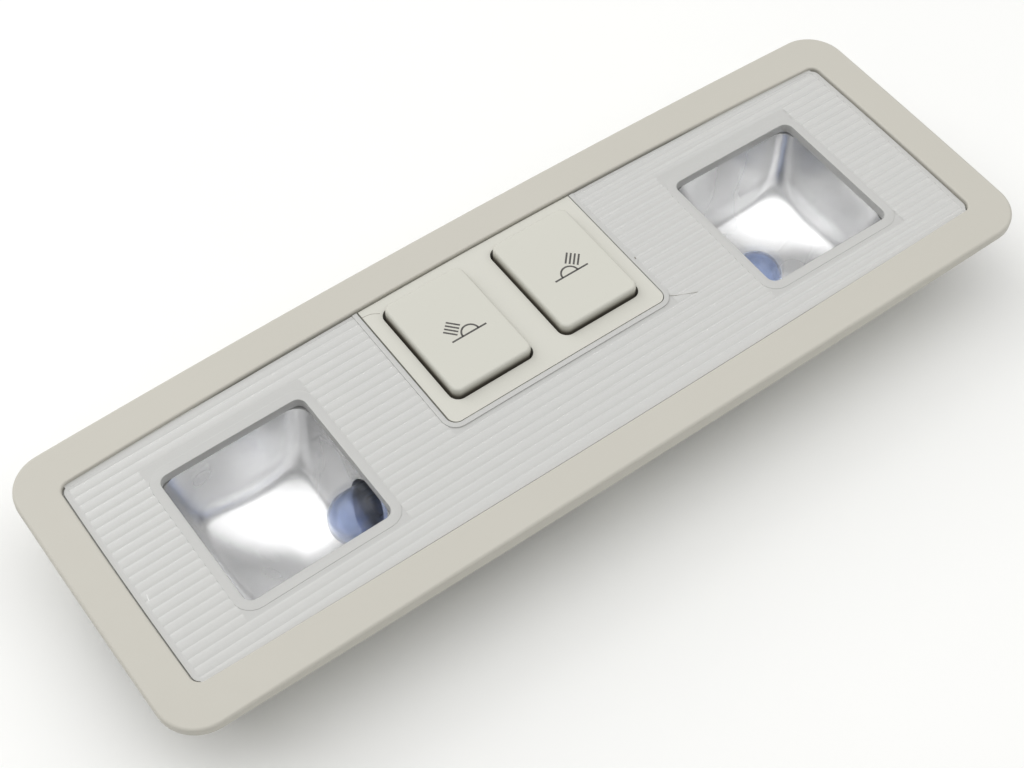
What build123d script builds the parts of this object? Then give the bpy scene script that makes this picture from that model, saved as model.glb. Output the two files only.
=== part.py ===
from build123d import *
import math
import os

os.makedirs("parts", exist_ok=True)

# All sizes are in millimetres. The light lies on its back: +Z points out of its face,
# X runs along it and Y across it, and the origin is under its middle.

# Heights of the face above the surface that the light lies on
face_height = 21.5          # top of the lens at the middle
crown_sag = 1.4             # how far the face has dropped at the ends of the opening
bezel_lip = 0.7             # bezel above the lens
rim_drop = 2.45             # flat rim of the bezel below the middle of the lens

# Bezel
bezel_length = 184.6
bezel_width = 60.4
bezel_end_bow = 0.2
bezel_side_bow = 0.6
bezel_corner = 7.5
bezel_wall = 1.6
bezel_skin = 1.3
bezel_edge_round = 0.55
lip_round = 0.35

# Opening in the bezel
band_end = 7.4              # width of the bezel's band at the ends
band_side = 7.7             # width of the bezel's band at the corners of the long sides
opening_end_bow = 0.2
opening_side_bow = 1.25
opening_corner = 1.9

# Lens
lens_gap = 0.3
lens_thickness = 2.0
lens_flange = 1.0
flange_clearance = 0.15
lens_end_border = 1.3
lens_side_border = 0.5
rib_pitch = 1.85
groove_count = 26
groove_width = 0.62
groove_depth = 0.2
window_offset = 18.1        # from the switch panel's edge to a window
window_y = -0.3
window_length = 28.8
window_width = 29.0
window_corner = 1.7
window_frame = 1.9
window_recess = 0.2
bead_width = 1.15
bead_height = 0.2

# Switch panel
panel_half_length = 23.7
panel_back_margin = 2.65    # from a button's hole to the back of the opening
panel_front_margin = 3.5    # from a button's hole to the panel's front
panel_corner = 1.75
panel_gap = 0.25
panel_thickness = 1.8
collar_wall = 1.1
collar_depth = 6.6
leg_thickness = 1.45
leg_gap = 0.45              # from a bulb holder to the front leg
leg_back_offset = 9.4
leg_width = 3.7

# Push buttons
button_x = 11.9
button_length = 16.9
button_width = 22.9
button_corner = 1.5
button_gap = 0.5
button_rise = 2.0
button_edge_round = 0.6
button_travel = 2.0
button_wall = 1.3
button_top = 1.8
lug_reach = 0.9
lug_width = 8.0
lug_height = 1.0
moving_gap = 0.3
stem_length = 6.0
stem_width = 2.4
stem_peg_radius = 0.9
stem_peg_drop = 1.1
peg_clearance = 0.05

# Return springs
spring_offset = 3.4         # behind the middle of the button
spring_radius = 2.75
wire_radius = 0.3
spring_turns = 6
spring_post_radius = 1.9
spring_post_height = 3.0
spring_clearance = 0.1

# Contacts and conductor strips
strip_thickness = 0.5
strip_lift = 0.1
contact_offset = 5.6        # in front of the middle of the button
contact_spread = 3.6
contact_radius = 1.1
contact_dome = 0.6
bridge_dome = 0.3
bridge_length = 10.0
strip_width = 3.0
ground_run_width = 2.0
supply_run_width = 3.0

# Wedge bulbs, lying along X with their tips pointing outwards
bulb_setback = 0.3          # the bulb's base inside the switch panel's edge
bulb_offset = 1.2           # the bulb's axis in front of the switch panel
bulb_drop = 8.6
bulb_radius = 5.0
bulb_length = 26.8
bulb_shoulder = 1.6
wedge_length = 8.6
wedge_thickness = 4.4
wedge_height = 9.0
blade_length = 5.0
blade_inset = 0.8
blade_reach = 3.6           # above the bulb's axis
blade_gap = 0.1

# Bulb holders
holder_wall = 1.6
holder_end = 1.3
holder_clearance = 0.1
holder_mouth_gap = 0.4

# Reflectors
reflector_margin = 0.5
reflector_wall = 1.0
reflector_focus = 12.0
reflector_foot_radius = 4.0
reflector_corner = 4.2
bowl_round = 3.0
bulb_hole_clearance = 0.7
bulb_hole_reach = 3.4

# Housing
housing_wall = 1.5
tray_depth = 16.5           # below the middle of the lens
tray_floor = 1.5
tray_end_taper = 1.3
tray_side_taper = 2.5
tray_edge_round = 1.2
well_wall = 1.4
well_floor = 1.2
well_clearance = 0.2
stack_gap = 0.1
well_edge_round = 1.2
back_rib_height = 2.0
back_rib_width = 1.2
back_rib_end_gap = 2.6
cross_rib_x = 21.0
vent_count = 3
vent_pitch = 2.4
vent_width = 1.3
vent_length = 8.0
vent_margin = 1.2           # from a well to the nearest vent

# Connector socket, open at the back
socket_offset = 10.75       # behind the front of the opening
socket_length = 8.0
socket_width = 11.0
socket_wall = 1.4
socket_rise = 2.5           # roof of the socket above the tray's floor
socket_mouth = 0.4
pin_length = 2.2
pin_thickness = 1.0
pin_setback = 2.0           # tips inside the socket's mouth
pin_clearance = 0.1
pin_spread = 3.3

# Screws that hold the housing to the bezel
screw_offset = 3.4          # outside the opening's ends
screw_y = 16.0
boss_radius = 2.2
boss_drop = 1.2
ear_radius = 2.4
ear_thickness = 1.5
screw_radius = 1.2
screw_hole_clearance = 0.3
thread_clearance = 0.05
thread_depth = 1.75
screw_tip_gap = 0.2
head_radius = 2.3
head_height = 1.4
recess_length = 2.8
recess_width = 0.6
recess_depth = 0.8

# Leaf springs that hold the light in its cut-out, with heights measured down from the rim
clip_width = 10.0
clip_thickness = 0.6
clip_gap = 0.1
clip_top_drop = 4.85
clip_bend_drop = 13.15
clip_knee_drop = 7.25
clip_knee_reach = 3.2
clip_tip_drop = 3.65
clip_tip_reach = 1.5
clip_bend_radius = 0.65
stake_drop = 8.75
stake_radius = 1.2
stake_clearance = 0.15
stake_length = 1.5

# Values that follow from the sizes above
opening_length = bezel_length - 2 * band_end
opening_width = bezel_width - 2 * band_side
opening_back = opening_width / 2 + opening_side_bow
button_y = opening_back - panel_back_margin - button_gap - button_width / 2
panel_front = button_y - button_width / 2 - button_gap - panel_front_margin
window_x = panel_half_length + window_offset + window_length / 2
spring_y = button_y + spring_offset
contact_y = button_y - contact_offset
bulb_y = panel_front - bulb_offset
socket_y = socket_offset - opening_back
ground_run_y = socket_y - pin_spread
supply_pin_y = socket_y + pin_spread
screw_x = opening_length / 2 + screw_offset
crown_radius = ((opening_length / 2) ** 2 + crown_sag ** 2) / (2 * crown_sag)
crown_reach = 2 * crown_sag
bezel_top = face_height + bezel_lip
rim_z = face_height - rim_drop
flange_top = bezel_top - bezel_skin - flange_clearance
lens_underside = face_height - lens_thickness
housing_top = lens_underside - stack_gap
tray_bottom = face_height - tray_depth
floor_z = tray_bottom + tray_floor
strip_z = floor_z + strip_lift
strip_top = strip_z + strip_thickness
button_face = face_height + button_rise
button_ceiling = button_face - button_top
collar_bottom = face_height - collar_depth
lug_top = collar_bottom - moving_gap
skirt_bottom = lug_top - lug_height
bridge_low = strip_top + contact_dome + button_travel + moving_gap + bridge_dome
bridge_high = bridge_low + strip_thickness
bulb_z = face_height - bulb_drop
bulb_base_x = panel_half_length - bulb_setback
blade_x = bulb_base_x + blade_inset + blade_length / 2
blade_offset = (wedge_thickness + strip_thickness) / 2 + blade_gap
holder_slot_half = wedge_thickness / 2 + 2 * blade_gap + strip_thickness
holder_half_width = holder_slot_half + holder_wall
leg_front_y = bulb_y + holder_half_width + leg_gap + leg_width / 2
leg_back_y = button_y + leg_back_offset
socket_roof = floor_z + socket_rise
roof_top = socket_roof + socket_wall
roof_strip_z = roof_top + strip_lift
pin_tip = socket_mouth + pin_setback
ear_top = rim_z - boss_drop
ear_bottom = ear_top - ear_thickness
well_grow = reflector_margin + reflector_wall + well_clearance
clip_top = rim_z - clip_top_drop
clip_bend_z = rim_z - clip_bend_drop
clip_knee_z = rim_z - clip_knee_drop
clip_tip_z = rim_z - clip_tip_drop
stake_z = rim_z - stake_drop


# Shared shapes

def bowed_plate(half_length, half_width, end_bow, side_bow, corner):
    """A rounded rectangle whose four sides bow outwards."""
    left_back = (-half_length, half_width)
    right_back = (half_length, half_width)
    right_front = (half_length, -half_width)
    left_front = (-half_length, -half_width)
    sides = [
        ThreePointArc(left_back, (0, half_width + side_bow), right_back),
        ThreePointArc(right_back, (half_length + end_bow, 0), right_front),
        ThreePointArc(right_front, (0, -half_width - side_bow), left_front),
        ThreePointArc(left_front, (-half_length - end_bow, 0), left_back),
    ]
    plate = make_face(sides)
    return fillet(plate.vertices(), corner)


def bezel_plate(inset):
    return bowed_plate(
        bezel_length / 2 - inset,
        bezel_width / 2 - inset,
        bezel_end_bow,
        bezel_side_bow,
        bezel_corner - inset,
    )


def opening_plate(grow):
    return bowed_plate(
        opening_length / 2 + grow,
        opening_width / 2 + grow,
        opening_end_bow,
        opening_side_bow,
        opening_corner + grow,
    )


def panel_zone(grow):
    """The notch for the switch panel, open past the back of the opening."""
    front = panel_front - grow
    back = bezel_width / 2
    zone = Pos(0, (front + back) / 2) * Rectangle(2 * (panel_half_length + grow), back - front)
    return fillet(zone.vertices().sort_by(Axis.Y)[:2], panel_corner + grow)


def window_zone(side, grow):
    return Pos(side * window_x, window_y) * RectangleRounded(
        window_length + 2 * grow,
        window_width + 2 * grow,
        window_corner + grow,
    )


def block(sketch, low, high):
    return extrude(Pos(0, 0, low) * sketch, high - low)


def under_crown(height):
    """All that lies below the crowned surface with this height at the middle."""
    drum = Cylinder(crown_radius, 2 * bezel_width, rotation=(90, 0, 0))
    return Pos(0, 0, height - crown_radius) * drum


def crowned(sketch, low, top):
    return block(sketch, low, top) & under_crown(top)


def crowned_layer(sketch, bottom, top):
    return crowned(sketch, bottom - crown_reach, top) - under_crown(bottom)


def cuboid(x_low, x_high, y_low, y_high, z_low, z_high):
    size = Box(x_high - x_low, y_high - y_low, z_high - z_low)
    return Pos((x_low + x_high) / 2, (y_low + y_high) / 2, (z_low + z_high) / 2) * size


def sided(side, x_low, x_high, y_low, y_high, z_low, z_high):
    """A cuboid given by its distances from the middle plane, on the left or the right."""
    ends = sorted((side * x_low, side * x_high))
    return cuboid(ends[0], ends[1], y_low, y_high, z_low, z_high)


def upright(x, y, z_low, z_high, radius):
    return Pos(x, y, (z_low + z_high) / 2) * Cylinder(radius, z_high - z_low)


def outward(side, x_from, x_to, y, z, radius):
    """A cylinder along X."""
    middle = side * (x_from + x_to) / 2
    return Pos(middle, y, z) * Cylinder(radius, x_to - x_from, rotation=(0, 90, 0))


# Bezel: a crowned skin with an outer wall, hollow underneath, with four screw bosses

def make_bezel():
    body = crowned(bezel_plate(0), rim_z, bezel_top)
    body -= block(opening_plate(0), rim_z - crown_reach, bezel_top + crown_reach)
    outer_edges = body.faces().sort_by(Axis.Z)[-1].outer_wire().edges()
    body = fillet(outer_edges, bezel_edge_round)
    inner_edges = body.faces().sort_by(Axis.Z)[-1].inner_wires()[0].edges()
    body = fillet(inner_edges, lip_round)
    body -= crowned(bezel_plate(bezel_wall), rim_z - crown_reach, bezel_top - bezel_skin)
    boss_top = under_crown(bezel_top - bezel_skin / 2)
    hole_top = ear_top + thread_depth + screw_tip_gap
    for x in (-screw_x, screw_x):
        for y in (-screw_y, screw_y):
            body += upright(x, y, ear_top, bezel_top, boss_radius) & boss_top
            body -= upright(x, y, ear_top, hole_top, screw_radius + thread_clearance)
    return body


# Lens: a crowned plate with a seating flange, ribs between V grooves, two windows and a beaded notch

def make_groove(y):
    clear = bead_height
    half_width = groove_width / 2 * (1 + clear / groove_depth)
    outline = Polyline(
        (y - half_width, face_height + clear),
        (y, face_height - groove_depth),
        (y + half_width, face_height + clear),
        close=True,
    )
    axis = Axis((0, 0, face_height - crown_radius), (0, 1, 0))
    half_turn = math.degrees(math.asin(opening_length / 2 / crown_radius))
    profile = (Plane.YZ * make_face(outline)).rotate(axis, -half_turn)
    return revolve(profile, axis, 2 * half_turn)


def rib_plate():
    """The ribbed area, inside the plain border."""
    return bowed_plate(
        opening_length / 2 - lens_gap - lens_end_border,
        opening_width / 2 - lens_gap - lens_side_border,
        opening_end_bow,
        opening_side_bow,
        opening_corner - lens_gap - lens_side_border,
    )


def make_lens():
    body = crowned_layer(opening_plate(-lens_gap), lens_underside, face_height)
    body += crowned_layer(opening_plate(lens_flange), lens_underside, flange_top)
    body -= block(panel_zone(panel_gap), lens_underside - crown_reach, face_height + crown_reach)
    bead_zone = (panel_zone(panel_gap + bead_width) - panel_zone(panel_gap)) & opening_plate(-lens_gap)
    body += crowned_layer(bead_zone, lens_underside, face_height + bead_height)
    rib_zone = rib_plate() - panel_zone(panel_gap + bead_width)
    for side in (-1, 1):
        rib_zone -= window_zone(side, window_frame)
        body -= crowned_layer(window_zone(side, 0), face_height - window_recess, face_height + bead_height)
    rib_block = block(rib_zone, lens_underside, face_height + crown_reach)
    first_y = -rib_pitch * (groove_count - 1) / 2
    grooves = [make_groove(first_y + index * rib_pitch) & rib_block for index in range(groove_count)]
    return body - grooves


# Switch panel: a flush plate with a guide collar for each button, legs and a tab under the bezel

def button_zone(side, grow):
    return Pos(side * button_x, button_y) * RectangleRounded(
        button_length + 2 * grow,
        button_width + 2 * grow,
        button_corner + grow,
    )


def make_switch_panel():
    plate_bottom = face_height - panel_thickness
    visible = panel_zone(0) & opening_plate(-panel_gap)
    tab = (panel_zone(0) & opening_plate(lens_flange)) - opening_plate(-bezel_wall)
    body = crowned_layer(visible, plate_bottom, face_height)
    body += crowned_layer(tab, plate_bottom, flange_top)
    outer_x = button_x + button_length / 2 + button_gap + collar_wall
    for side in (-1, 1):
        body += block(button_zone(side, button_gap + collar_wall), collar_bottom, plate_bottom + crown_sag)
        for y in (leg_front_y, leg_back_y):
            body += sided(
                side,
                outer_x,
                outer_x + leg_thickness,
                y - leg_width / 2,
                y + leg_width / 2,
                strip_z,
                plate_bottom + panel_thickness / 2,
            )
    for side in (-1, 1):
        body -= block(button_zone(side, button_gap), collar_bottom, face_height + crown_sag)
    return body


# Push buttons: hollow caps with catch lugs, a spring peg and a stem that carries the moving contact

def make_button(side):
    x = side * button_x
    body = block(button_zone(side, 0), skirt_bottom, button_face)
    body = fillet(body.faces().sort_by(Axis.Z)[-1].edges(), button_edge_round)
    body -= block(button_zone(side, -button_wall), skirt_bottom, button_ceiling)
    half_length = button_length / 2
    for edge in (-half_length + button_wall / 2, half_length - button_wall / 2):
        reach = math.copysign(button_wall / 2 + lug_reach, edge)
        ends = sorted((x + edge, x + edge + reach))
        body += cuboid(
            ends[0],
            ends[1],
            button_y - lug_width / 2,
            button_y + lug_width / 2,
            skirt_bottom,
            lug_top,
        )
    body += upright(x, spring_y, button_ceiling - spring_post_height, button_ceiling, spring_post_radius)
    body += cuboid(
        x - stem_length / 2,
        x + stem_length / 2,
        contact_y - stem_width / 2,
        contact_y + stem_width / 2,
        bridge_high,
        button_ceiling,
    )
    body += upright(x, contact_y, bridge_high - stem_peg_drop, bridge_high, stem_peg_radius)
    return body


def make_button_spring(side):
    low = floor_z + wire_radius + spring_clearance
    high = button_ceiling - wire_radius - spring_clearance
    path = Helix((high - low) / spring_turns, high - low, spring_radius)
    section = Plane(path @ 0, z_dir=path % 0) * RegularPolygon(wire_radius, 6)
    coil = sweep(section, path, is_frenet=True)
    return Pos(side * button_x, spring_y, low) * coil


def make_contact_bridge(side):
    x = side * button_x
    body = cuboid(
        x - bridge_length / 2,
        x + bridge_length / 2,
        contact_y - strip_width / 2,
        contact_y + strip_width / 2,
        bridge_low,
        bridge_high,
    )
    body -= upright(x, contact_y, bridge_low, bridge_high, stem_peg_radius + peg_clearance)
    for offset in (-contact_spread, contact_spread):
        body += upright(x + offset, contact_y, bridge_low - bridge_dome, bridge_low, contact_radius)
    return body


# Conductor strips, stamped and folded from sheet brass

def contact_point(x):
    return upright(x, contact_y, strip_top, strip_top + contact_dome, contact_radius)


def blade(side, offset):
    """An upright blade that grips one face of a bulb's wedge base."""
    y = bulb_y + offset
    return sided(
        side,
        blade_x - blade_length / 2,
        blade_x + blade_length / 2,
        y - strip_thickness / 2,
        y + strip_thickness / 2,
        strip_z,
        bulb_z + blade_reach,
    )


def connector_pin(y):
    return cuboid(
        -pin_length / 2,
        pin_length / 2,
        y - pin_thickness / 2,
        y + pin_thickness / 2,
        pin_tip,
        roof_strip_z,
    )


def make_ground_strip():
    low_y = ground_run_y - ground_run_width / 2
    high_y = ground_run_y + ground_run_width / 2
    foot_x = socket_length / 2 + socket_wall + strip_lift
    fold_x = foot_x + strip_thickness
    far_x = blade_x + blade_length / 2
    roof_high = roof_strip_z + strip_thickness
    body = cuboid(-fold_x, fold_x, low_y, high_y, roof_strip_z, roof_high)
    for side in (-1, 1):
        body += sided(side, foot_x, fold_x, low_y, high_y, strip_z, roof_high)
        body += sided(side, foot_x, far_x, low_y, high_y, strip_z, strip_top)
        arm_y = bulb_y - blade_offset + strip_thickness / 2
        body += sided(side, far_x - blade_length, far_x, low_y, arm_y, strip_z, strip_top)
        body += blade(side, -blade_offset)
    return body + connector_pin(ground_run_y)


def make_supply_strip():
    wall_y = socket_y + socket_width / 2 + socket_wall + strip_lift
    half_width = supply_run_width / 2
    roof_high = roof_strip_z + strip_thickness
    bar_low = contact_y - strip_width / 2
    bar_high = contact_y + strip_width / 2
    inner_x = button_x - contact_spread
    bar_x = inner_x + contact_radius
    roof_low_y = supply_pin_y - pin_thickness
    roof_high_y = wall_y + strip_thickness
    body = cuboid(-half_width, half_width, roof_low_y, roof_high_y, roof_strip_z, roof_high)
    body += cuboid(-half_width, half_width, wall_y, roof_high_y, strip_z, roof_high)
    body += cuboid(-half_width, half_width, wall_y, bar_high, strip_z, strip_top)
    body += cuboid(-bar_x, bar_x, bar_low, bar_high, strip_z, strip_top)
    for side in (-1, 1):
        body += contact_point(side * inner_x)
    return body + connector_pin(supply_pin_y)


def make_lamp_strip(side):
    outer_x = button_x + contact_spread
    bar_low = contact_y - strip_width / 2
    bar_high = contact_y + strip_width / 2
    run_low = blade_x - strip_width / 2
    run_high = blade_x + strip_width / 2
    foot_y = bulb_y + blade_offset - strip_thickness / 2
    body = sided(side, run_low, run_high, foot_y, bar_high, strip_z, strip_top)
    body += sided(side, outer_x - contact_radius, run_high, bar_low, bar_high, strip_z, strip_top)
    body += blade(side, blade_offset)
    return body + contact_point(side * outer_x)


# Wedge bulbs, their holders and the reflectors

def bulb_plane(side):
    return Plane((side * bulb_base_x, bulb_y, bulb_z), x_dir=(0, 1, 0), z_dir=(side, 0, 0))


def make_bulb(side):
    straight_end = bulb_length - bulb_radius
    neck = bulb_radius - bulb_shoulder
    outline = [
        Line((0, wedge_length), (neck, wedge_length)),
        RadiusArc((neck, wedge_length), (bulb_radius, wedge_length + bulb_shoulder), -bulb_shoulder),
        Line((bulb_radius, wedge_length + bulb_shoulder), (bulb_radius, straight_end)),
        RadiusArc((bulb_radius, straight_end), (0, bulb_length), -bulb_radius),
        Line((0, bulb_length), (0, wedge_length)),
    ]
    glass = revolve(Plane.XZ * make_face(outline), Axis.Z)
    wedge_top = wedge_length + bulb_shoulder
    wedge = Pos(0, 0, wedge_top / 2) * Box(wedge_thickness, wedge_height, wedge_top)
    keep = Cylinder(bulb_radius, 2 * bulb_length)
    return bulb_plane(side) * (glass + (wedge & keep))


def make_bulb_holder(side):
    low = strip_top + holder_clearance
    high = bulb_z + wedge_height / 2
    wedge_low = bulb_z - wedge_height / 2 - holder_clearance
    inner_x = bulb_base_x - holder_clearance
    outer_x = bulb_base_x + wedge_length - holder_mouth_gap
    front = bulb_y - holder_half_width
    back = bulb_y + holder_half_width
    body = sided(side, inner_x - holder_end, outer_x, front, back, low, high)
    body -= sided(side, inner_x, outer_x, front + holder_wall, back - holder_wall, wedge_low, high)
    lane_low = wedge_thickness / 2
    for offset in (-holder_slot_half, lane_low):
        body -= sided(
            side,
            blade_x - blade_length / 2 - blade_gap,
            blade_x + blade_length / 2 + blade_gap,
            bulb_y + offset,
            bulb_y + offset + holder_slot_half - lane_low,
            low,
            wedge_low,
        )
    return body


def bowl_space(vertex_z):
    """The space above a paraboloid with its vertex at this height."""
    reach = math.hypot(window_length, window_width) / 2 + 2 * (reflector_margin + reflector_wall)
    edge_z = vertex_z + reach ** 2 / (4 * reflector_focus)
    top_z = max(edge_z, face_height) + crown_reach
    outline = [
        Bezier((0, vertex_z), (reach / 2, vertex_z), (reach, edge_z)),
        Line((reach, edge_z), (reach, top_z)),
        Line((reach, top_z), (0, top_z)),
        Line((0, top_z), (0, vertex_z)),
    ]
    return revolve(Plane.XZ * make_face(outline), Axis.Z)


def make_reflector(side):
    foot_z = well_floor
    outer_vertex = foot_z + stack_gap
    inner_vertex = outer_vertex + reflector_wall
    place = Pos(side * window_x, window_y)
    top = housing_top
    shell = crowned(window_zone(side, reflector_margin + reflector_wall), foot_z, top)
    shell &= place * bowl_space(outer_vertex)
    opening = RectangleRounded(
        window_length + 2 * reflector_margin,
        window_width + 2 * reflector_margin,
        reflector_corner,
    )
    cavity = block(place * opening, foot_z, face_height) & place * bowl_space(inner_vertex)
    cavity = fillet(cavity.faces().sort_by(Axis.Z)[0].edges(), bowl_round)
    foot = upright(side * window_x, window_y, foot_z, inner_vertex, reflector_foot_radius)
    foot -= place * bowl_space(inner_vertex)
    body = shell - cavity + foot
    inner_x = window_x - window_length / 2 - reflector_margin - reflector_wall
    hole_radius = bulb_radius + bulb_hole_clearance
    hole_start = inner_x - reflector_wall
    hole_end = inner_x + bulb_hole_reach
    return body - outward(side, hole_start, hole_end, bulb_y, bulb_z, hole_radius)


# Housing: a tapered tray with a well for each reflector, a connector socket, ears and stakes

def tray_plate(grow, drop):
    """Outline of the tray, with its share of the taper at a depth from 0 at the top to 1 at the bottom."""
    return bowed_plate(
        opening_length / 2 + lens_flange + grow - drop * tray_end_taper,
        opening_width / 2 + lens_flange + grow - drop * tray_side_taper,
        opening_end_bow,
        opening_side_bow,
        opening_corner + lens_flange + grow,
    )


def tray_end_x(z):
    """Outer face of the tray's end wall at its middle."""
    drop = (housing_top - z) / (housing_top - tray_bottom)
    return opening_length / 2 + lens_flange + opening_end_bow - drop * tray_end_taper


def make_back_ribs():
    """Stiffening ribs under the tray, along it in line with the socket and the buttons, and across it."""
    low = tray_bottom - back_rib_height
    end_x = tray_end_x(tray_bottom) - back_rib_end_gap
    end_y = opening_width / 2 + lens_flange - tray_side_taper - back_rib_end_gap
    half_width = back_rib_width / 2
    ribs = []
    for y in (socket_y, button_y):
        ribs.append(cuboid(-end_x, end_x, y - half_width, y + half_width, low, floor_z))
    for x in (-cross_rib_x, cross_rib_x):
        ribs.append(cuboid(x - half_width, x + half_width, -end_y, end_y, low, floor_z))
    return ribs


def make_vents(side):
    """Slots through the tray's floor under a bulb."""
    first_x = window_x - window_length / 2 - well_grow - well_wall - vent_margin - vent_width / 2
    slot = RectangleRounded(vent_width, vent_length, vent_width / 3)
    vents = []
    for index in range(vent_count):
        place = Pos(side * (first_x - index * vent_pitch), bulb_y)
        vents.append(block(place * slot, tray_bottom, floor_z))
    return vents


def make_housing():
    floor_drop = (housing_top - floor_z) / (housing_top - tray_bottom)
    body = loft([Pos(0, 0, tray_bottom) * tray_plate(0, 1), Pos(0, 0, housing_top) * tray_plate(0, 0)])
    body = fillet(body.faces().sort_by(Axis.Z)[0].edges(), tray_edge_round)
    socket = Pos(0, socket_y) * Rectangle(socket_length + 2 * socket_wall, socket_width + 2 * socket_wall)
    for side in (-1, 1):
        well = block(window_zone(side, well_grow + well_wall), 0, floor_z)
        body += fillet(well.faces().sort_by(Axis.Z)[0].edges(), well_edge_round)
    body += make_back_ribs()
    inner_low = Pos(0, 0, floor_z) * tray_plate(-housing_wall, floor_drop)
    inner_high = Pos(0, 0, housing_top) * tray_plate(-housing_wall, 0)
    body -= loft([inner_low, inner_high])
    for side in (-1, 1):
        body -= block(window_zone(side, well_grow), well_floor, floor_z)
        body -= make_vents(side)
        post_x = side * button_x
        body += upright(post_x, spring_y, floor_z, floor_z + spring_post_height, spring_post_radius)
    body += block(socket, socket_mouth, roof_top)
    body -= block(Pos(0, socket_y) * Rectangle(socket_length, socket_width), socket_mouth, socket_roof)
    for pin_y in (ground_run_y, supply_pin_y):
        slot = Rectangle(pin_length + 2 * pin_clearance, pin_thickness + 2 * pin_clearance)
        body -= block(Pos(0, pin_y) * slot, socket_roof, roof_top)
    body &= under_crown(housing_top)
    for side in (-1, 1):
        for y in (-screw_y, screw_y):
            root_x = opening_length / 2 + lens_flange - housing_wall
            ear = Pos(side * (root_x + screw_x) / 2, y) * Rectangle(screw_x - root_x, 2 * ear_radius)
            ear += Pos(side * screw_x, y) * Circle(ear_radius)
            ear -= Pos(side * screw_x, y) * Circle(screw_radius + screw_hole_clearance)
            body += block(ear, ear_bottom, ear_top)
        wall_x = tray_end_x(stake_z)
        body += outward(side, wall_x - housing_wall / 2, wall_x + stake_length, 0, stake_z, stake_radius)
    return body


# Fasteners and clips

def make_housing_screws():
    head_bottom = ear_bottom - head_height
    screws = []
    for x in (-screw_x, screw_x):
        for y in (-screw_y, screw_y):
            head = upright(x, y, head_bottom, ear_bottom, head_radius)
            for length, width in ((recess_length, recess_width), (recess_width, recess_length)):
                head -= block(Pos(x, y) * Rectangle(length, width), head_bottom, head_bottom + recess_depth)
            screws.append(head + upright(x, y, ear_bottom, ear_top + thread_depth, screw_radius))
    return Compound(screws)


def make_retaining_spring(side):
    root = clip_gap + clip_thickness / 2
    points = [
        (tray_end_x(clip_top) + root, clip_top),
        (tray_end_x(clip_bend_z) + root, clip_bend_z),
        (tray_end_x(clip_bend_z) + root + 2 * clip_bend_radius, clip_bend_z),
        (tray_end_x(clip_knee_z) + clip_knee_reach, clip_knee_z),
        (tray_end_x(clip_tip_z) + clip_tip_reach, clip_tip_z),
    ]
    line = FilletPolyline(*points, radius=clip_bend_radius)
    profile = trace(line, clip_thickness)
    body = extrude(Plane.XZ * profile, clip_width / 2, both=True)
    wall_x = tray_end_x(stake_z)
    body -= outward(1, wall_x, wall_x + stake_length, 0, stake_z, stake_radius + stake_clearance)
    return body if side > 0 else mirror(body, Plane.YZ)


nodes = {
    "bezel": make_bezel(),
    "lens": make_lens(),
    "switch_panel": make_switch_panel(),
    "housing": make_housing(),
    "supply_strip": make_supply_strip(),
    "ground_strip": make_ground_strip(),
    "housing_screws": make_housing_screws(),
}
paired = {
    "button": make_button,
    "button_spring": make_button_spring,
    "contact_bridge": make_contact_bridge,
    "lamp_strip": make_lamp_strip,
    "reading_bulb": make_bulb,
    "bulb_holder": make_bulb_holder,
    "reflector": make_reflector,
    "retaining_spring": make_retaining_spring,
}
for name, make in paired.items():
    nodes[name + "_left"] = make(-1)
    nodes[name + "_right"] = make(1)

for name, part in nodes.items():
    export_step(part, f"parts/{name}.step")
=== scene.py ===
import bpy
import bmesh
import math
from mathutils import Matrix, Vector
from mathutils.geometry import tessellate_polygon


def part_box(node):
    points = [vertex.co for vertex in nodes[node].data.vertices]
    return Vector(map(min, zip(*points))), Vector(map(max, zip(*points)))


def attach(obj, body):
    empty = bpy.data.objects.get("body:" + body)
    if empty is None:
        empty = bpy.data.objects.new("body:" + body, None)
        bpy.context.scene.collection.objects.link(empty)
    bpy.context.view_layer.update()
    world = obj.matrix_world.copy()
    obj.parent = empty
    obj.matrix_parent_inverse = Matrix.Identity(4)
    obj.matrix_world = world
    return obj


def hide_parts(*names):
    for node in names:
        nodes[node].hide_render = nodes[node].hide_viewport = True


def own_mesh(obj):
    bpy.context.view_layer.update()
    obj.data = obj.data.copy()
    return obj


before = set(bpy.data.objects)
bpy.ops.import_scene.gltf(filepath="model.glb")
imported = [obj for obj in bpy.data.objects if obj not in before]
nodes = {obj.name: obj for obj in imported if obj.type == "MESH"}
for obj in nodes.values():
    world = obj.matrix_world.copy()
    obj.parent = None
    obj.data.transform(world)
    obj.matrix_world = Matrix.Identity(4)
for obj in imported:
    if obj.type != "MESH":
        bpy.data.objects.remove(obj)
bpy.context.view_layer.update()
scene = bpy.context.scene
mm = 0.001
tiny = 1e-6                                                    # mm, for cuts and edges
weldGap = 1e-8                                                 # m
faintMottle = (0.985, 1.01)
sides = {"left": -1, "right": 1}
noiseRange = (0.3, 0.7)                                        # where noise values mostly lie
print("frame loaded:", len(nodes), "nodes")


# sRGB 0-255, as read off a picture, to the linear values that shaders use
def tone(red, green, blue):
    def linear(value):
        value /= 255
        return value / 12.92 if value <= 0.04045 else ((value + 0.055) / 1.055) ** 2.4
    return (linear(red), linear(green), linear(blue), 1.0)


# Materials

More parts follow.
